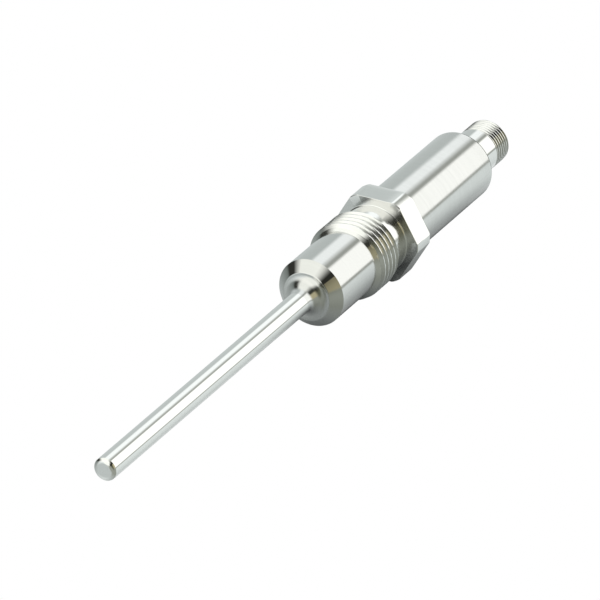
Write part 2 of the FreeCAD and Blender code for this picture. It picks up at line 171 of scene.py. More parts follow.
# %% Tent panels
WHITE_PANEL = "FBFCF9"
BRIGHT_CLOTH = "F5F6F0"
SOFT_WHITE = "EDEFE9"
COOL_WHITE = "EAEEEE"
PALE_CLOTH = "CED4D3"
GREY_CLOTH = "AEB4B3"
PANEL_GAP = "969994"
GREY_CARD = "8A8E86"
DARK_CARD = "6E7471"
TAN_CARD = "A8A184"
OLIVE_CARD = "565747"
BLACK_CARD = "30312D"
BLACK_VELVET = "20211C"
FAR_OPENING = "3E4241"

# A panel has its tint from one angle to another, or at one angle, and runs over into the next panel
BEHIND_CONNECTOR = [
    (306, PALE_CLOTH), (330, GREY_CLOTH), (44, GREY_CLOTH), (56, COOL_WHITE), (82, COOL_WHITE),
    (99, PANEL_GAP), (106, PANEL_GAP), (114, WHITE_PANEL), (177, WHITE_PANEL), (181, PANEL_GAP),
    (186, PANEL_GAP), (190, PALE_CLOTH), (250, PALE_CLOTH), (280, COOL_WHITE), (290, PALE_CLOTH),
]
SIDES = [
    (301, PALE_CLOTH), (318, GREY_CLOTH), (0, DARK_CARD), (6, BLACK_CARD), (20, BLACK_CARD),
    (38, SOFT_WHITE), (90, SOFT_WHITE), (119, BLACK_CARD), (139, BLACK_CARD), (141, TAN_CARD),
    (172, TAN_CARD), (180, GREY_CARD), (225, GREY_CARD), (270, GREY_CLOTH),
]
CAMERA_END = [
    (312, GREY_CLOTH), (325, GREY_CLOTH), (350, PALE_CLOTH), (24, BRIGHT_CLOTH), (100, BRIGHT_CLOTH),
    (126, BLACK_VELVET), (146, BLACK_VELVET), (158, OLIVE_CARD), (180, OLIVE_CARD), (210, GREY_CARD),
    (250, GREY_CARD), (285, GREY_CLOTH),
]
AROUND_LENS = [
    (301, GREY_CARD), (335, SOFT_WHITE), (100, SOFT_WHITE), (125, BLACK_CARD), (140, BLACK_CARD),
    (165, OLIVE_CARD), (215, GREY_CARD),
]
# Each stretch takes over from the one before it between two cosines of the angle to the axis
TENT_STRETCHES = [
    ((0.93, 0.86), BEHIND_CONNECTOR),
    ((0.7, 0.22), SIDES),
    ((-0.45, -0.8), CAMERA_END),
    ((-0.86, -0.93), AROUND_LENS),
]
print(f"{sum(len(panels) for _, panels in TENT_STRETCHES)} tints in {len(TENT_STRETCHES)} stretches")

# %% Place in the tent
FULL_TURN = 360.0
TENT_SEAM = 300.0

world = bpy.data.worlds.new("light_tent")
bpy.context.scene.world = world
world.use_nodes = True
tent = world.node_tree
tent.nodes.clear()
direction = add_node(tent, "ShaderNodeTexCoord").outputs["Generated"]
along_across_up = add_node(tent, "ShaderNodeSeparateXYZ", {"Vector": direction}).outputs
round_axis = add_node(
    tent, "ShaderNodeMath", {0: along_across_up["Z"], 1: along_across_up["Y"]}, operation="ARCTAN2"
).outputs["Value"]
from_seam = add_node(
    tent, "ShaderNodeMath", {0: round_axis, 1: 1 / math.tau, 2: 1 - TENT_SEAM / FULL_TURN},
    operation="MULTIPLY_ADD",
).outputs["Value"]
panel_place = add_node(tent, "ShaderNodeMath", {0: from_seam}, operation="FRACT").outputs["Value"]
print(f"the ramps' ends meet at {TENT_SEAM:.0f} degrees")

# %% Blend the stretches
tent_colour = linear(FAR_OPENING)
for (start, end), panels in TENT_STRETCHES:
    stops = sorted(((angle - TENT_SEAM) % FULL_TURN / FULL_TURN, tint) for angle, tint in panels)
    stops.append((1.0, stops[0][1]))
    ramp = add_node(tent, "ShaderNodeValToRGB", {"Fac": panel_place})
    elements = ramp.color_ramp.elements
    while len(elements) < len(stops):
        elements.new(0.5)
    for element, (place, tint) in zip(elements, stops):
        element.position = place
        element.color = linear(tint)
    taken_over = add_node(
        tent, "ShaderNodeMapRange", {"Value": along_across_up["X"], "From Min": start, "From Max": end},
        interpolation_type="SMOOTHSTEP",
    ).outputs["Result"]
    tent_colour = add_node(
        tent, "ShaderNodeMix",
        {SHARE: taken_over, FIRST_COLOUR: tent_colour, SECOND_COLOUR: ramp.outputs["Color"]},
        data_type="RGBA",
    ).outputs[MIXED_COLOUR]
print(f"{len(TENT_STRETCHES)} ramps blended along the axis")

# %% Light the tent
PANEL_BRIGHTNESS = 1.5
BACKDROP_WHITE = "FFFFFF"

tent_light = add_node(tent, "ShaderNodeBackground", {"Color": tent_colour, "Strength": PANEL_BRIGHTNESS})
backdrop = add_node(tent, "ShaderNodeBackground", {"Color": linear(BACKDROP_WHITE)})
seen_directly = add_node(tent, "ShaderNodeLightPath").outputs["Is Camera Ray"]
shown = add_node(
    tent, "ShaderNodeMixShader",
    {
        SHARE: seen_directly, FIRST_SHADER: tent_light.outputs["Background"],
        SECOND_SHADER: backdrop.outputs["Background"],
    },
)
add_node(tent, "ShaderNodeOutputWorld", {"Surface": shown.outputs["Shader"]})
print(f"tent of {len(tent.nodes)} nodes, plain white where the camera looks past the object")

# %% [markdown]
# ## Floor
#
# The object lies on a sheet of clear acrylic over a white ground. A photographer lights it until the shadows
# are gone and the sheet is as white as the backdrop, so the camera's own rays see plain white. To the steel
# it is a clear sheet that lets the lower half of the tent through, with a shade painted on it under the
# object, which gives the soft dark undersides. A shadow painted in one spot would do for one view. Here
# ambient occlusion works the painted shade out from the object for every view, and a gamma sets its depth.

# %% Floor sheet
FLOOR_HALF_SIDE = 6.0

floor_bm = bmesh.new()
bmesh.ops.create_grid(floor_bm, x_segments=1, y_segments=1, size=FLOOR_HALF_SIDE)
bmesh.ops.translate(floor_bm, verts=floor_bm.verts[:], vec=(0, 0, cad_box[0].z))
floor_mesh = bpy.data.meshes.new("acrylic_floor")
floor_bm.to_mesh(floor_mesh)
floor_bm.free()
floor = bpy.data.objects.new("acrylic_floor", floor_mesh)
bpy.context.scene.collection.objects.link(floor)
print(f"floor at {cad_box[0].z / MM:.1f} mm")

# %% Floor finish
SHADE_REACH = 70 * MM
SHADE_DEPTH = 1.6
SHADE_SAMPLES = 8

# Clear acrylic, cast smooth: white to the camera, and to the steel a clear sheet with a soft painted shade on
# it
acrylic = bpy.data.materials.new("lit_acrylic_with_painted_shade")
acrylic.use_nodes = True
sheet = acrylic.node_tree
sheet.nodes.clear()
# Painted shade: the sheet darkens where ambient occlusion finds the object over it
shade = add_node(
    sheet, "ShaderNodeAmbientOcclusion", {"Distance": SHADE_REACH}, samples=SHADE_SAMPLES
).outputs["Color"]
deep_shade = add_node(sheet, "ShaderNodeGamma", {"Color": shade, "Gamma": SHADE_DEPTH}).outputs["Color"]
see_through = add_node(sheet, "ShaderNodeBsdfTransparent", {"Color": deep_shade})
lit_white = add_node(sheet, "ShaderNodeEmission", {"Color": linear(BACKDROP_WHITE)})
sheet_seen = add_node(sheet, "ShaderNodeLightPath").outputs["Is Camera Ray"]
sheet_look = add_node(
    sheet, "ShaderNodeMixShader",
    {
        SHARE: sheet_seen, FIRST_SHADER: see_through.outputs["BSDF"],
        SECOND_SHADER: lit_white.outputs["Emission"],
    },
)
add_node(sheet, "ShaderNodeOutputMaterial", {"Surface": sheet_look.outputs["Shader"]})
floor_mesh.materials.append(acrylic)
print(f"shade reaches {SHADE_REACH / MM:.0f} mm")

# %% [markdown]
# ## Steel finishes
#
# Probe, connection, housing and plug are austenitic stainless steel, a little warmer than chrome. What sets
# them apart is how each surface was made. A turned face carries fine rings from the tool's feed, a drawn and
# polished tube carries faint lines along it, and a ground cone is nearly a mirror. Rings blur a reflection
# along the axis and leave it sharp across, so turned finishes are anisotropic. Each is the same steel with
# its own line direction, line width, gloss and pair of tints, which are darker where a surface scatters more
# of the light. A picture could be wrapped round each piece, but noise fits every diameter without a seam.
# Real feed lines are a tenth of a millimetre or finer, and too fine for a picture of this size, so the
# widths given are as coarse as the picture needs.

# %% Stainless steel
SATIN_TINTS = ("D8D8D6", "CECECC")
ROLLED_TINTS = ("E2E2E0", "D8D8D6")
BRIGHT_TINTS = ("E8E8E6", "DEDEDC")
SMUDGE_SIZE = 9.0 * MM
TWO_NOISES_SPAN = (0.7, 1.3)
QUARTER_TURN = 0.25


def stainless(
    name, gloss, tints=BRIGHT_TINTS, rings=True, line_width=0.6 * MM, line_height=0.0006 * MM, anisotropy=0.0
):
    """Steel whose roughness runs between the two gloss values, with fine rings or lengthwise lines."""
    material = bpy.data.materials.new(name)
    material.use_nodes = True
    tree = material.node_tree
    shader = tree.nodes["Principled BSDF"]
    place = add_node(tree, "ShaderNodeTexCoord").outputs["Object"]
    split = add_node(tree, "ShaderNodeSeparateXYZ", {"Vector": place}).outputs
    across = add_node(tree, "ShaderNodeCombineXYZ", {"Y": split["Y"], "Z": split["Z"]}).outputs["Vector"]
    out = add_node(tree, "ShaderNodeVectorMath", {0: across}, operation="LENGTH").outputs["Value"]
    along_and_out = add_node(tree, "ShaderNodeCombineXYZ", {"X": split["X"], "Y": out}).outputs["Vector"]
    line_place = add_node(
        tree, "ShaderNodeMapping",
        {"Vector": along_and_out if rings else across, "Scale": [1 / line_width] * 3},
    ).outputs["Vector"]
    fine = add_node(
        tree, "ShaderNodeTexNoise", {"Vector": line_place, "Scale": 1.0, "Detail": 3.0, "Roughness": 0.6}
    ).outputs["Fac"]
    smudge = add_node(
        tree, "ShaderNodeTexNoise", {"Vector": place, "Scale": 1 / SMUDGE_SIZE, "Detail": 2.0}
    ).outputs["Fac"]
    worn = add_node(tree, "ShaderNodeMath", {0: fine, 1: smudge}, operation="ADD").outputs["Value"]
    roughness = add_node(
        tree, "ShaderNodeMapRange",
        {
            "Value": worn, "From Min": TWO_NOISES_SPAN[0], "From Max": TWO_NOISES_SPAN[1],
            "To Min": gloss[0], "To Max": gloss[1],
        },
    ).outputs["Result"]
    colour = add_node(
        tree, "ShaderNodeMix",
        {SHARE: fine, FIRST_COLOUR: linear(tints[0]), SECOND_COLOUR: linear(tints[1])}, data_type="RGBA",
    ).outputs[MIXED_COLOUR]
    bump = add_node(tree, "ShaderNodeBump", {"Height": fine, "Strength": 1.0, "Distance": line_height})
    tree.links.new(colour, shader.inputs["Base Color"])
    tree.links.new(roughness, shader.inputs["Roughness"])
    tree.links.new(bump.outputs["Normal"], shader.inputs["Normal"])
    shader.inputs["Metallic"].default_value = 1.0
    if anisotropy:
        around = add_node(tree, "ShaderNodeTangent", direction_type="RADIAL", axis="X").outputs["Tangent"]
        tree.links.new(around, shader.inputs["Tangent"])
        shader.inputs["Anisotropic"].default_value = anisotropy
        shader.inputs["Anisotropic Rotation"].default_value = QUARTER_TURN
    return material


print(f"every finish varies in patches of {SMUDGE_SIZE / MM:.0f} mm")

# %% Nine finishes
# Drawn tube, polished along its length: nearly a mirror, with faint streaks
drawn_steel = stainless("drawn_polished_stainless", gloss=(0.05, 0.09), rings=False, line_width=0.5 * MM)
# Ground to seal: the clearest mirror on the object
ground_steel = stainless("ground_stainless", gloss=(0.04, 0.07), tints=SATIN_TINTS, line_width=0.8 * MM)
# Cut with a round-nosed tool: reflections melt into one another
coved_steel = stainless("coved_stainless", gloss=(0.12, 0.17), tints=SATIN_TINTS, line_width=0.8 * MM)
# Turned with a fine feed: clear streaks along the axis, blurred at their ends
turned_steel = stainless(
    "fine_turned_stainless", gloss=(0.09, 0.14), tints=SATIN_TINTS, line_height=0.001 * MM, anisotropy=0.4
)
# Turned and left satin: the same streaks, softer and silky
satin_steel = stainless(
    "satin_turned_stainless", gloss=(0.11, 0.17), tints=SATIN_TINTS, line_height=0.001 * MM, anisotropy=0.4
)
# Thread cut with a pointed tool: bright crests over slightly blurred flanks
cut_steel = stainless("thread_cut_stainless", gloss=(0.1, 0.16), line_width=0.4 * MM)
# Thread rolled between dies: pressed smooth, so that each crest flashes
rolled_steel = stainless(
    "thread_rolled_stainless", gloss=(0.04, 0.08), tints=ROLLED_TINTS, line_width=0.3 * MM
)
# Flats cut by a milling cutter: bright planes under a thin haze
milled_steel = stainless("milled_stainless", gloss=(0.08, 0.14), line_width=0.7 * MM)
# End faces turned square to the axis: fine rings that fan the light out
faced_steel = stainless("faced_stainless", gloss=(0.14, 0.2), line_width=0.5 * MM, anisotropy=0.5)
print("nine finishes of stainless steel")

# %% [markdown]
# ## Turning a piece
#
# A lathe makes a solid from one outline, and so does Blender's spin. The outline is a closed wire in the
# upright plane through the axis, its corners given as (along, out). Corners that the real piece has rounded
# are bevelled while they are still a wire, which costs nothing, and then the wire is spun about X. A wire
# that touches the axis leaves many points at one place there, so doubles are merged before the normals are
# turned outwards, and a stretch of wire on the axis itself, which has no skin, is deleted.

# %% Lathe helpers
TURN_STEPS = 192
ROUND_SEGMENTS = 16
WELD_DISTANCE = 1e-7
SHARP_ANGLE = 32.0


def outline_wire(corners):
    """A closed wire through (along, out) corners; a third number rounds a corner, from so far away on."""
    bm = bmesh.new()
    verts = [bm.verts.new((corner[0], 0.0, corner[1])) for corner in corners]
    for first, second in zip(verts, verts[1:] + verts[:1]):
        bm.edges.new((first, second))
    for vert, corner in zip(verts, corners):
        if len(corner) == 3:
            bmesh.ops.bevel(
                bm, geom=[vert], offset=corner[2], affect="VERTICES", segments=ROUND_SEGMENTS, profile=0.5,
                material=-1,
            )
    return bm


def split_run(bm, start, end, least_out, step):
    """Cut the outline's outer edges between two places into short steps, so that they can be shaped later."""
    for edge in bm.edges[:]:
        along = sorted(vert.co.x for vert in edge.verts)
        out = min(vert.co.z for vert in edge.verts)
        if along[0] > start - step and along[1] < end + step and out > least_out:
            cuts = max(0, round((along[1] - along[0]) / step) - 1)
            bmesh.ops.subdivide_edges(bm, edges=[edge], cuts=cuts)


def spin_outline(bm, steps=TURN_STEPS):
    """Spin the wire about the X axis to a closed, outward-facing skin."""
    bmesh.ops.spin(
        bm, geom=bm.verts[:] + bm.edges[:], cent=(0, 0, 0), axis=(1, 0, 0), dvec=(0, 0, 0), angle=math.tau,
        steps=steps, use_merge=True, use_normal_flip=False, use_duplicate=False,
    )
    bmesh.ops.remove_doubles(bm, verts=bm.verts[:], dist=WELD_DISTANCE)
    bmesh.ops.dissolve_degenerate(bm, dist=WELD_DISTANCE, edges=bm.edges[:])
    on_axis = [edge for edge in bm.edges if edge.is_wire]
    bmesh.ops.delete(bm, geom=on_axis, context="EDGES")
    bmesh.ops.recalc_face_normals(bm, faces=bm.faces[:])


def keep_piece(bm, name, node, materials, sharp_angle=SHARP_ANGLE):
    """Turn the skin into a piece that stands for a node and rides with the object."""
    open_edges = sum(1 for edge in bm.edges if len(edge.link_faces) != 2)
    mesh = bpy.data.meshes.new(name)
    bm.to_mesh(mesh)
    bm.free()
    for material in materials:
        mesh.materials.append(material)
    mesh.shade_smooth()
    mesh.set_sharp_from_angle(angle=math.radians(sharp_angle))
    piece = bpy.data.objects.new(name, mesh)
    bpy.context.scene.collection.objects.link(piece)
    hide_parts(node)
    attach(piece, "root")
    print(f"{name}: {len(mesh.polygons)} faces, {open_edges} open edges")
    return piece


print(f"a turn is {TURN_STEPS} steps of {FULL_TURN / TURN_STEPS:.2f} degrees")

# %% [markdown]
# ## Probe
#
# The probe is a drawn tube of 6 mm with a closed tip, polished so that nothing clings to it. The
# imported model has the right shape, but its facets would break a mirror-like streak, so the tube is turned
# again with many more steps, at the same size. The round at the tip could be a bevel of the corner too, but
# on the real tip it is longer across than along, so its points are taken from a quarter ellipse.

# %% Probe
PROBE_RADIUS = 3.0 * MM
PROBE_BORE = 2.5 * MM
TIP_WALL = 0.8 * MM
TIP_FLAT_RADIUS = 1.5 * MM
TIP_ROUND_LENGTH = 0.9 * MM
sheath_joint_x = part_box("probe_sheath")[1].x

tip_angles = [math.pi / 2 * step / ROUND_SEGMENTS for step in range(ROUND_SEGMENTS + 1)]
tip_round = [
    (
        tip_x + TIP_ROUND_LENGTH * (1 - math.cos(angle)),
        TIP_FLAT_RADIUS + (PROBE_RADIUS - TIP_FLAT_RADIUS) * math.sin(angle),
    )
    for angle in tip_angles
]
probe = outline_wire([
    (tip_x, 0.0),
    *tip_round,
    (sheath_joint_x, PROBE_RADIUS),
    (sheath_joint_x, PROBE_BORE),
    (tip_x + TIP_WALL, PROBE_BORE),
    (tip_x + TIP_WALL, 0.0),
])
spin_outline(probe)
keep_piece(probe, "probe_tube", "probe_sheath", [drawn_steel])

# %% [markdown]
# ## Threads
#
# Both threads are the standard V with a rounded root and a crest left flat by the bar's own diameter:
# 55 degrees on the pipe thread, 60 on the connector. A helix could be swept as a tooth and joined to the
# blank, but the ends then need booleans. Here the blank is turned at the thread's outer diameter with its
# chamfers, and every point in the thread's length is pressed in to the V where the V is lower. The chamfers
# then cut the helix off as they do on a real lathe, and the skin stays closed.

# %% Thread helpers
def thread_shape(pitch, pitch_radius, half_angle, root_round):
    """The radius of a V thread with a rounded root, as a function of the distance along from a crest."""
    slope = 1 / math.tan(half_angle)
    root_start = pitch / 2 - root_round * math.cos(half_angle)
    root = pitch_radius - pitch / 4 * slope + root_round * (1 / math.sin(half_angle) - 1)

    def radius_at(distance):
        away = abs((distance + pitch / 2) % pitch - pitch / 2)
        if away > root_start:
            return root + root_round - math.sqrt(root_round ** 2 - (pitch / 2 - away) ** 2)
        return pitch_radius + (pitch / 4 - away) * slope

    print(f"thread of {pitch / MM:.3f} mm pitch, {root / MM:.2f} mm from the axis at its root")
    return radius_at


def cut_thread(bm, start, end, least_out, pitch, first_crest, radius_at):
    """Press the blank in to a right-hand helix between two places."""
    for vert in bm.verts:
        out = math.hypot(vert.co.y, vert.co.z)
        if start < vert.co.x < end and out > least_out:
            turn = math.atan2(vert.co.z, vert.co.y) / math.tau
            wanted = radius_at(vert.co.x - first_crest - turn * pitch)
            if wanted < out:
                vert.co.y *= wanted / out
                vert.co.z *= wanted / out


# %% [markdown]
# ## Process connection
#
# One bar of steel is turned to the coved nose, the sealing cone, the pipe thread, the relief and the spigot
# that carries the housing, and six flats are then milled for a spanner. It could be one mesh, but its
# stretches differ in how they are shaped and finished, so it is made as three that meet edge to edge: nose,
# shank and hexagon.

# %% Places along the process connection
NOSE_RADIUS = 9.0 * MM
CONE_LENGTH = 2.55 * MM
NOSE_LENGTH = 17.0 * MM
THREAD_LEAD_IN = 1.4 * MM
CHAMBER_RADIUS = 6.25 * MM
CHAMBER_WALL = 5.0 * MM
HEX_LENGTH = 6.8 * MM
NECK_RADIUS = 9.0 * MM
NECK_ROUND = 0.3 * MM

nose_back_x = -THREAD_LEAD_IN
cone_back_x = nose_back_x - NOSE_LENGTH
rim_x = cone_back_x - CONE_LENGTH
chamber_front_x = cone_back_x + CHAMBER_WALL
spigot_end_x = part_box("process_connection")[1].x
hex_back_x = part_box("housing_sleeve")[0].x
hex_front_x = hex_back_x - HEX_LENGTH
neck_end_x = hex_front_x - NECK_ROUND
print(f"rim at {rim_x / MM:.2f} mm, hexagon from {hex_front_x / MM:.2f} mm")

# %% [markdown]
# The nose starts as a stub that the probe is welded to. A cove leads from the stub to the rim, so that no
# dirt collects in a corner, and behind the rim a ground cone seals metal to metal. The cove could be a
# fillet that is added later, but as a rounded corner of the outline it runs into the stub without a seam.
# The rim is broken with a small round, which catches a bright line. A deep cove also mirrors itself over and
# over, which a photographer can take out with dulling spray. Here the nose is left out of all reflections,
# its own among them.

# %% Sealing nose
COVE_RADIUS = 3.2 * MM
RIM_RADIUS = 6.45 * MM
RIM_ROUND = 0.2 * MM

nose = outline_wire([
    (sheath_joint_x, PROBE_BORE),
    (sheath_joint_x, PROBE_RADIUS),
    (rim_x, PROBE_RADIUS, COVE_RADIUS),
    (rim_x, RIM_RADIUS, RIM_ROUND),
    (cone_back_x, NOSE_RADIUS),
    (nose_back_x, NOSE_RADIUS),
    (nose_back_x, CHAMBER_RADIUS),
    (chamber_front_x, CHAMBER_RADIUS),
    (chamber_front_x, PROBE_BORE),
])
spin_outline(nose)
COVED, GROUND, TURNED = range(3)
for face in nose.faces:
    along = face.calc_center_median().x
    face.material_index = COVED if along < rim_x else GROUND if along < cone_back_x else TURNED
nose_finishes = [coved_steel, ground_steel, turned_steel]
nose_piece = keep_piece(nose, "sealing_nose", "process_connection", nose_finishes)
nose_piece.visible_glossy = False

# %% [markdown]
# The shank has a lead-in, a half-inch pipe thread of 14 threads per inch, a run-out and a plain relief neck.
# A bump map could draw the thread on a plain cylinder, but its teeth show against the backdrop, so it is cut.
# Only points that are there can be pressed in, so the outline is first divided into steps that are far
# shorter than the pitch.

# %% Threaded shank
THREAD_RADIUS = 10.4775 * MM
THREAD_LENGTH = 8.8 * MM
THREAD_RUN_OUT = 0.9 * MM
PIPE_PITCH = 25.4 / 14 * MM
PIPE_HALF_ANGLE = math.radians(27.5)
PIPE_ROOT_ROUND = 0.1373 * PIPE_PITCH
PIPE_PITCH_RADIUS = 9.8967 * MM
PIPE_FIRST_CREST = 0.0
PIPE_STEP = 0.06 * MM

shank = outline_wire([
    (nose_back_x, CHAMBER_RADIUS),
    (nose_back_x, NOSE_RADIUS),
    (0.0, THREAD_RADIUS),
    (THREAD_LENGTH - THREAD_RUN_OUT, THREAD_RADIUS),
    (THREAD_LENGTH, NECK_RADIUS),
    (neck_end_x, NECK_RADIUS),
    (neck_end_x, CHAMBER_RADIUS),
])
split_run(shank, nose_back_x, THREAD_LENGTH, NOSE_RADIUS - PIPE_STEP, PIPE_STEP)
spin_outline(shank)
pipe_radius_at = thread_shape(PIPE_PITCH, PIPE_PITCH_RADIUS, PIPE_HALF_ANGLE, PIPE_ROOT_ROUND)
cut_thread(shank, nose_back_x, THREAD_LENGTH, NOSE_RADIUS, PIPE_PITCH, PIPE_FIRST_CREST, pipe_radius_at)
keep_piece(shank, "threaded_shank", "process_connection", [cut_steel])

# %% [markdown]
# The hexagon starts as a turned disc with chamfered rims, as on the lathe, and bisect_plane slices off six
# flats, each slice closed by filling its hole. A six-sided cylinder would be quicker, but the bar is a little
# smaller than the hexagon is across its corners, so a narrow round land stays at each. Nothing else reaches
# as far out as the flats, so the slices touch only the hexagon. The edges round its front are then broken
# with a small bevel, as a deburring tool leaves them. The back ones are sharp, since they face the housing.

# %% Turned blank of the hexagon
HEX_SIDES = 6
HEX_CORNER_LOSS = 0.55 * MM
HEX_CHAMFER = 0.25 * MM
HEX_CHAMFER_HEIGHT = 0.15 * MM
SPIGOT_RADIUS = 8.28 * MM
SPIGOT_LEAD_IN = 0.5 * MM
GROOVE_PLACE = 3.0 * MM
GROOVE_WIDTH = 1.5 * MM
GROOVE_DEPTH = 1.0 * MM

flat_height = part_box("process_connection")[1].z
bar_radius = flat_height / math.cos(math.pi / HEX_SIDES) - HEX_CORNER_LOSS
hex_face_radius = bar_radius - HEX_CHAMFER_HEIGHT
groove_x = hex_back_x + GROOVE_PLACE
hexagon = outline_wire([
    (neck_end_x, CHAMBER_RADIUS),
    (neck_end_x, NECK_RADIUS),
    (hex_front_x, NECK_RADIUS, NECK_ROUND),
    (hex_front_x, hex_face_radius),
    (hex_front_x + HEX_CHAMFER, bar_radius),
    (hex_back_x - HEX_CHAMFER, bar_radius),
    (hex_back_x, hex_face_radius),
    (hex_back_x, SPIGOT_RADIUS),
    (groove_x, SPIGOT_RADIUS),
    (groove_x, SPIGOT_RADIUS - GROOVE_DEPTH),
    (groove_x + GROOVE_WIDTH, SPIGOT_RADIUS - GROOVE_DEPTH),
    (groove_x + GROOVE_WIDTH, SPIGOT_RADIUS),
    (spigot_end_x - SPIGOT_LEAD_IN, SPIGOT_RADIUS),
    (spigot_end_x, SPIGOT_RADIUS - SPIGOT_LEAD_IN),
    (spigot_end_x, CHAMBER_RADIUS),
])
spin_outline(hexagon)
print(f"bar of {2 * bar_radius / MM:.2f} mm for {2 * flat_height / MM:.1f} mm across the flats")

# %% Spanner hexagon
HEX_EDGE_BREAK = 0.08 * MM
HEX_EDGE_ANGLE = math.radians(20)
HEX_EDGE_SEGMENTS = 2
HEX_SHARP_ANGLE = 20.0
SQUARE_TO_AXIS = 0.99

for side in range(HEX_SIDES):
    angle = math.pi / 2 + side * math.tau / HEX_SIDES
    outwards = Vector((0, math.cos(angle), math.sin(angle)))
    bmesh.ops.bisect_plane(
        hexagon, geom=hexagon.verts[:] + hexagon.edges[:] + hexagon.faces[:], dist=WELD_DISTANCE,
        plane_co=outwards * flat_height, plane_no=outwards, clear_outer=True,
    )
    cut_edges = [edge for edge in hexagon.edges if edge.is_boundary]
    bmesh.ops.holes_fill(hexagon, edges=cut_edges, sides=0)

hexagon.normal_update()
hex_edges = [
    edge for edge in hexagon.edges
    if min(math.hypot(vert.co.y, vert.co.z) for vert in edge.verts) > flat_height - WELD_DISTANCE
    and max(vert.co.x for vert in edge.verts) < hex_back_x - HEX_CHAMFER - WELD_DISTANCE
    and edge.calc_face_angle(0) > HEX_EDGE_ANGLE
]
bmesh.ops.bevel(
    hexagon, geom=hex_edges, offset=HEX_EDGE_BREAK, affect="EDGES", segments=HEX_EDGE_SEGMENTS, profile=0.5,
    material=-1, clamp_overlap=True,
)
print(f"{len(hex_edges)} edges of the hexagon broken")
hexagon.normal_update()
MILLED, FACED = range(2)
for face in hexagon.faces:
    face.material_index = FACED if abs(face.normal.x) > SQUARE_TO_AXIS else MILLED
keep_piece(
    hexagon, "spanner_hexagon", "process_connection", [milled_steel, faced_steel],
    sharp_angle=HEX_SHARP_ANGLE,
)

# %% [markdown]
# ## Housing
#
# The electronics sit in a plain sleeve with one closed end. It is turned with a fine feed and left satin, so
# its streaks are softer than the probe's. A cylinder with a lid would do from outside, but the outline of the
# whole section costs no more and gives the sleeve its real wall. The far edge is rounded so that it catches
# a thin line of light.

# %% Housing
HOUSING_RADIUS = 9.3 * MM
HOUSING_WALL = 1.0 * MM
HOUSING_END_WALL = 2.5 * MM
HOUSING_ROUND = 0.8 * MM
SHANK_RADIUS = 6.5 * MM
SEAT_CLEARANCE = 0.02 * MM
housing_end_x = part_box("housing_sleeve")[1].x
end_wall_x = housing_end_x - HOUSING_END_WALL

housing = outline_wire([
    (hex_back_x, HOUSING_RADIUS - HOUSING_WALL),
    (hex_back_x, HOUSING_RADIUS),
    (housing_end_x, HOUSING_RADIUS, HOUSING_ROUND),
    (housing_end_x, SHANK_RADIUS + SEAT_CLEARANCE),
    (end_wall_x, SHANK_RADIUS + SEAT_CLEARANCE),
    (end_wall_x, HOUSING_RADIUS - HOUSING_WALL),
])
spin_outline(housing)
keep_piece(housing, "housing_tube", "housing_sleeve", [satin_steel])

# %% [markdown]
# ## Connector shell
#
# The plug connector is an M12 shell: a flange behind the housing's end wall, a smooth collar, and a fine
# thread of 1 mm pitch for the cable's union nut. It is made as the process connection was, as a turned blank
# with a thread pressed in. A crest of this thread is hardly a pixel wide, so the pitch radius is a tenth of a
# millimetre over the standard one, which widens the crests enough to show.

# %% Turned blank of the connector
PLUG_RADIUS = 6.0 * MM
PLUG_LEAD_IN = 0.6 * MM
PLUG_THREAD_LENGTH = 7.0 * MM
FLANGE_RADIUS = 8.1 * MM
SEAL_GROOVE_RADIUS = 7.25 * MM
SEAL_GROOVE_WIDTH = 1.1 * MM
SEAL_GROOVE_DEPTH = 0.8 * MM
SOCKET_RADIUS = 4.4 * MM
SOCKET_LEAD_IN = 0.3 * MM
CARRIER_SEAT_RADIUS = 5.4 * MM
CARRIER_SEAT_DEPTH = 4.0 * MM
PLUG_STEP = 0.03 * MM
PLUG_STEPS = 160

flange_back_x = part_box("connector_shell")[0].x
plug_end_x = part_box("connector_shell")[1].x
plug_thread_x = plug_end_x - PLUG_THREAD_LENGTH
carrier_seat_x = flange_back_x + CARRIER_SEAT_DEPTH
groove_inner = SEAL_GROOVE_RADIUS - SEAL_GROOVE_WIDTH / 2
groove_outer = SEAL_GROOVE_RADIUS + SEAL_GROOVE_WIDTH / 2

shell = outline_wire([
    (flange_back_x, CARRIER_SEAT_RADIUS),
    (flange_back_x, FLANGE_RADIUS),
    (end_wall_x, FLANGE_RADIUS),
    (end_wall_x, groove_outer),
    (end_wall_x - SEAL_GROOVE_DEPTH, groove_outer),
    (end_wall_x - SEAL_GROOVE_DEPTH, groove_inner),
    (end_wall_x, groove_inner),
    (end_wall_x, SHANK_RADIUS),
    (housing_end_x, SHANK_RADIUS),
    (housing_end_x, PLUG_RADIUS),
    (plug_thread_x - PLUG_STEP, PLUG_RADIUS),
    (plug_thread_x, PLUG_RADIUS),
    (plug_end_x - PLUG_LEAD_IN, PLUG_RADIUS),
    (plug_end_x, PLUG_RADIUS - PLUG_LEAD_IN),
    (plug_end_x, SOCKET_RADIUS + SOCKET_LEAD_IN),
    (plug_end_x - SOCKET_LEAD_IN, SOCKET_RADIUS),
    (carrier_seat_x, SOCKET_RADIUS),
    (carrier_seat_x, CARRIER_SEAT_RADIUS),
])
split_run(shell, plug_thread_x, plug_end_x, PLUG_RADIUS - PLUG_LEAD_IN - PLUG_STEP, PLUG_STEP)
spin_outline(shell, PLUG_STEPS)
print(f"plug of {(plug_end_x - housing_end_x) / MM:.1f} mm outside the housing")

# %% Connector shell
PLUG_PITCH = 1.0 * MM
PLUG_HALF_ANGLE = math.radians(30)
PLUG_ROOT_ROUND = 0.144 * MM
PLUG_PITCH_RADIUS = 5.78 * MM
PLUG_SHARP_ANGLE = 50.0

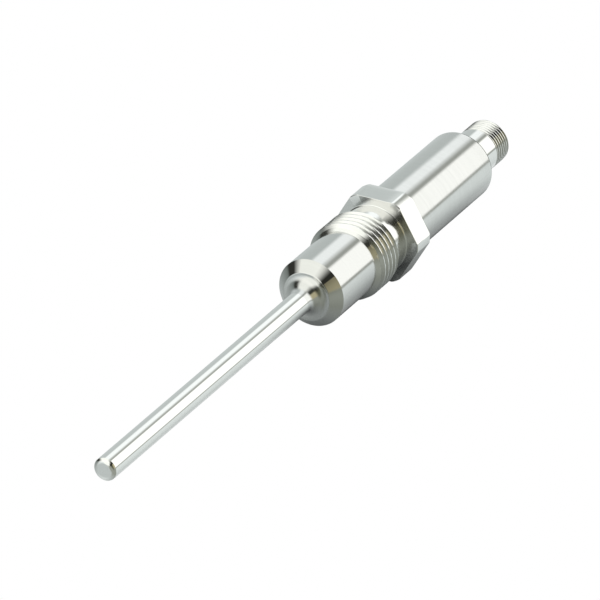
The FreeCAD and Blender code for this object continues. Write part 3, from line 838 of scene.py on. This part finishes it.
plug_radius_at = thread_shape(PLUG_PITCH, PLUG_PITCH_RADIUS, PLUG_HALF_ANGLE, PLUG_ROOT_ROUND)
cut_thread(
    shell, plug_thread_x, plug_end_x, SOCKET_RADIUS + SOCKET_LEAD_IN, PLUG_PITCH, plug_thread_x,
    plug_radius_at,
)
keep_piece(
    shell, "plug_shell", "connector_shell", [rolled_steel], sharp_angle=PLUG_SHARP_ANGLE
)

# %% [markdown]
# ## Moulded, cast and extruded pieces
#
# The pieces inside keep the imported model's own shapes and only need their finishes. Most are plastics or
# rubber. A mould gives its own fine texture to a part, a cast resin flows in swirls, and rubber comes out a
# little cloudy. All of these are two near tints with a grain between them, and the grain also drives gloss
# and bump, as it does on the real surface. Real mould grain is a few hundredths of a millimetre, so it is
# drawn a few times coarser to show at all. Image textures could do it too, but noise has no seams.

# %% Moulded finishes
NOISE_SPAN = (0.3, 0.7)


def moulded(name, tints, grain, gloss, height, ior):
    """A plastic, rubber or resin whose grain of a given size mixes its tints, its gloss and its bump."""
    material = bpy.data.materials.new(name)
    material.use_nodes = True
    tree = material.node_tree
    shader = tree.nodes["Principled BSDF"]
    place = add_node(tree, "ShaderNodeTexCoord").outputs["Object"]
    speckle = add_node(
        tree, "ShaderNodeTexNoise", {"Vector": place, "Scale": 1 / grain, "Detail": 4.0, "Roughness": 0.6}
    ).outputs["Fac"]
    colour = add_node(
        tree, "ShaderNodeMix",
        {SHARE: speckle, FIRST_COLOUR: linear(tints[0]), SECOND_COLOUR: linear(tints[1])}, data_type="RGBA",
    ).outputs[MIXED_COLOUR]
    roughness = add_node(
        tree, "ShaderNodeMapRange",
        {
            "Value": speckle, "From Min": NOISE_SPAN[0], "From Max": NOISE_SPAN[1],
            "To Min": gloss[0], "To Max": gloss[1],
        },
    ).outputs["Result"]
    bump = add_node(tree, "ShaderNodeBump", {"Height": speckle, "Strength": 1.0, "Distance": height})
    tree.links.new(colour, shader.inputs["Base Color"])
    tree.links.new(roughness, shader.inputs["Roughness"])
    tree.links.new(bump.outputs["Normal"], shader.inputs["Normal"])
    shader.inputs["IOR"].default_value = ior
    return material


inner_finishes = {
    # Glass-filled polyamide from a spark-eroded mould: matt black with a fine sparkle
    "black_polyamide": moulded(
        "moulded_polyamide", tints=("141516", "232528"), grain=0.15 * MM, gloss=(0.42, 0.6),
        height=0.006 * MM, ior=1.53,
    ),
    # Epoxy moulding compound: dull dark grey from its silica filler
    "chip_moulding": moulded(
        "moulded_epoxy", tints=("1A1A1C", "2C2C2F"), grain=0.12 * MM, gloss=(0.5, 0.66),
        height=0.004 * MM, ior=1.55,
    ),
    # Natural polyester: off-white, with soft flow marks
    "natural_polyester": moulded(
        "moulded_polyester", tints=("E8E3D5", "D3CCB9"), grain=1.5 * MM, gloss=(0.38, 0.52),
        height=0.004 * MM, ior=1.57,
    ),
    # Nitrile rubber from a polished mould: satin black with a little bloom
    "seal_rubber": moulded(
        "moulded_nitrile", tints=("161616", "2B2A29"), grain=0.2 * MM, gloss=(0.5, 0.7),
        height=0.003 * MM, ior=1.52,
    ),
    # Zinc oxide heat paste: set and chalky
    "heat_paste": moulded(
        "set_heat_paste", tints=("D2D1CB", "B2B1AA"), grain=0.3 * MM, gloss=(0.55, 0.75),
        height=0.01 * MM, ior=1.45,
    ),
    # Cast epoxy: glossy dark brown, with slow swirls
    "potting_resin": moulded(
        "cast_epoxy", tints=("2C2620", "15120F"), grain=2.0 * MM, gloss=(0.1, 0.22),
        height=0.004 * MM, ior=1.55,
    ),
    # Extruded fluoropolymer sleeving: milky and smooth
    "lead_sleeving": moulded(
        "extruded_sleeving", tints=("F0F0EB", "D8D8D1"), grain=0.4 * MM, gloss=(0.24, 0.36),
        height=0.002 * MM, ior=1.36,
    ),
}
print(f"{len(inner_finishes)} moulded, cast and extruded finishes")

# %% [markdown]
# ## Fired ceramics
#
# The insulating tube, the element and the resistor's body are alumina, and the capacitors are a brown
# dielectric. Unglazed ceramic is a mass of sintered crystals, so it looks like fine sugar: no gloss, a tiny
# pit between the grains, and here and there a darker one. Noise could give the pits, but Voronoi cells are
# just such a packing of grains. Real ones are a hundredth of a millimetre, so these are drawn as coarse as
# the picture needs.

# %% Fired finishes
def fired(name, tints, grain, gloss, height, ior):
    """A sintered ceramic of packed grains, each with its own tint, and pits between them."""
    material = bpy.data.materials.new(name)
    material.use_nodes = True
    tree = material.node_tree
    shader = tree.nodes["Principled BSDF"]
    place = add_node(tree, "ShaderNodeTexCoord").outputs["Object"]
    grains = add_node(tree, "ShaderNodeTexVoronoi", {"Vector": place, "Scale": 1 / grain}).outputs
    each_grain = add_node(tree, "ShaderNodeSeparateColor", {"Color": grains["Color"]}).outputs["Red"]
    colour = add_node(
        tree, "ShaderNodeMix",
        {SHARE: each_grain, FIRST_COLOUR: linear(tints[0]), SECOND_COLOUR: linear(tints[1])},
        data_type="RGBA",
    ).outputs[MIXED_COLOUR]
    roughness = add_node(
        tree, "ShaderNodeMapRange", {"Value": each_grain, "To Min": gloss[0], "To Max": gloss[1]}
    ).outputs["Result"]
    bump = add_node(
        tree, "ShaderNodeBump", {"Height": grains["Distance"], "Strength": 1.0, "Distance": height},
        invert=True,
    )
    tree.links.new(colour, shader.inputs["Base Color"])
    tree.links.new(roughness, shader.inputs["Roughness"])
    tree.links.new(bump.outputs["Normal"], shader.inputs["Normal"])
    shader.inputs["IOR"].default_value = ior
    return material


# Fired alumina: warm white, dry and sugary
inner_finishes["alumina"] = fired(
    "fired_alumina", tints=("F4F1E8", "E2DDCF"), grain=0.12 * MM, gloss=(0.55, 0.75),
    height=0.006 * MM, ior=1.76,
)
# Fired dielectric: light brown and dense, with a dull shine
inner_finishes["capacitor_ceramic"] = fired(
    "fired_dielectric", tints=("BE9F78", "94764F"), grain=0.1 * MM, gloss=(0.35, 0.5),
    height=0.004 * MM, ior=2.2,
)
print("two fired ceramics")

# %% [markdown]
# ## Board laminate
#
# A circuit board is glass cloth pressed in resin under a green lacquer. The cloth's threads, half a
# millimetre apart, show as a faint weave through the lacquer, and the lacquer sinks a little between them.
# A brick or checker pattern would have hard borders, so two sets of soft bands across each other make the
# weave. A third set, along the height, is there for the round board, which stands upright.

# %% Board laminate
GLASS_THREAD_SPACING = 0.5 * MM
LACQUER_LIGHT = "2E7A48"
LACQUER_DARK = "1C5A34"
LACQUER_GLOSS = (0.32, 0.22)
LACQUER_SINK = 0.006 * MM
LAMINATE_IOR = 1.54
WAVE_BANDS_PER_UNIT = 20 / math.tau

# Green lacquer over pressed glass cloth: deep and glossy, with a faint grid
laminate = bpy.data.materials.new("lacquered_glass_laminate")
laminate.use_nodes = True
cloth = laminate.node_tree
board_shader = cloth.nodes["Principled BSDF"]
board_place = add_node(cloth, "ShaderNodeTexCoord").outputs["Object"]
band_scale = 1 / (GLASS_THREAD_SPACING * WAVE_BANDS_PER_UNIT)
weave = None
for thread_run in ("X", "Y", "Z"):
    bands = add_node(
        cloth, "ShaderNodeTexWave", {"Vector": board_place, "Scale": band_scale}, bands_direction=thread_run
    ).outputs["Fac"]
    if weave is None:
        weave = bands
    else:
        weave = add_node(cloth, "ShaderNodeMath", {0: weave, 1: bands}, operation="MULTIPLY").outputs["Value"]
lacquer = add_node(
    cloth, "ShaderNodeMix",
    {SHARE: weave, FIRST_COLOUR: linear(LACQUER_DARK), SECOND_COLOUR: linear(LACQUER_LIGHT)},
    data_type="RGBA",
).outputs[MIXED_COLOUR]
lacquer_gloss = add_node(
    cloth, "ShaderNodeMapRange", {"Value": weave, "To Min": LACQUER_GLOSS[0], "To Max": LACQUER_GLOSS[1]}
).outputs["Result"]
sunk = add_node(cloth, "ShaderNodeBump", {"Height": weave, "Strength": 1.0, "Distance": LACQUER_SINK})
cloth.links.new(lacquer, board_shader.inputs["Base Color"])
cloth.links.new(lacquer_gloss, board_shader.inputs["Roughness"])
cloth.links.new(sunk.outputs["Normal"], board_shader.inputs["Normal"])
board_shader.inputs["IOR"].default_value = LAMINATE_IOR
inner_finishes["board_laminate"] = laminate
print(f"weave of {GLASS_THREAD_SPACING / MM:.1f} mm")

# %% [markdown]
# ## Gilded contacts
#
# The four contacts are brass pins, turned from wire and plated with a thin film of gold, so that they don't
# tarnish. Gold plate is bright, but it follows the turning marks of the brass below it. A wave texture would
# space the marks too evenly. They run round the pin, so a noise is stretched across it and changes along X.
# Real marks are a few hundredths of a millimetre, so these are drawn coarser to show.

# %% Gilded contacts
GOLD_LIGHT = "F2D692"
GOLD_DARK = "DDB866"
GOLD_GLOSS = (0.12, 0.24)
TURNING_MARK = 0.2 * MM
MARK_STRETCH = 10
MARK_DEPTH = 0.001 * MM

# Gold over turned brass: warm and bright, with fine rings in its highlights
gilded = bpy.data.materials.new("gilded_brass")
gilded.use_nodes = True
plating = gilded.node_tree
gold_shader = plating.nodes["Principled BSDF"]
pin_place = add_node(plating, "ShaderNodeTexCoord").outputs["Object"]
along_scale = 1 / TURNING_MARK
across_scale = along_scale / MARK_STRETCH
mark_place = add_node(
    plating, "ShaderNodeMapping", {"Vector": pin_place, "Scale": (along_scale, across_scale, across_scale)}
).outputs["Vector"]
marks = add_node(
    plating, "ShaderNodeTexNoise", {"Vector": mark_place, "Scale": 1.0, "Detail": 3.0}
).outputs["Fac"]
gold = add_node(
    plating, "ShaderNodeMix",
    {SHARE: marks, FIRST_COLOUR: linear(GOLD_LIGHT), SECOND_COLOUR: linear(GOLD_DARK)}, data_type="RGBA",
).outputs[MIXED_COLOUR]
gold_gloss = add_node(
    plating, "ShaderNodeMapRange",
    {
        "Value": marks, "From Min": NOISE_SPAN[0], "From Max": NOISE_SPAN[1],
        "To Min": GOLD_GLOSS[0], "To Max": GOLD_GLOSS[1],
    },
).outputs["Result"]
gold_bump = add_node(plating, "ShaderNodeBump", {"Height": marks, "Strength": 1.0, "Distance": MARK_DEPTH})
plating.links.new(gold, gold_shader.inputs["Base Color"])
plating.links.new(gold_gloss, gold_shader.inputs["Roughness"])
plating.links.new(gold_bump.outputs["Normal"], gold_shader.inputs["Normal"])
gold_shader.inputs["Metallic"].default_value = 1.0
inner_finishes["gilded_brass"] = gilded
print(f"gold with turning marks of {TURNING_MARK / MM:.1f} mm")

# %% [markdown]
# ## Dressing the inner pieces
#
# The record names a material slot for each piece, and the finishes above go by the same names, so one loop
# dresses all that is inside. Naming every piece here would do as well, but the two lists could drift apart.

# %% Finish the inner pieces
finished = 0
for subpart in frame["record"]["subparts"]:
    if subpart["material_slot"] in inner_finishes:
        for slot in nodes[subpart["node"]].material_slots:
            slot.material = inner_finishes[subpart["material_slot"]]
        finished += 1
print(f"{finished} inner pieces finished")
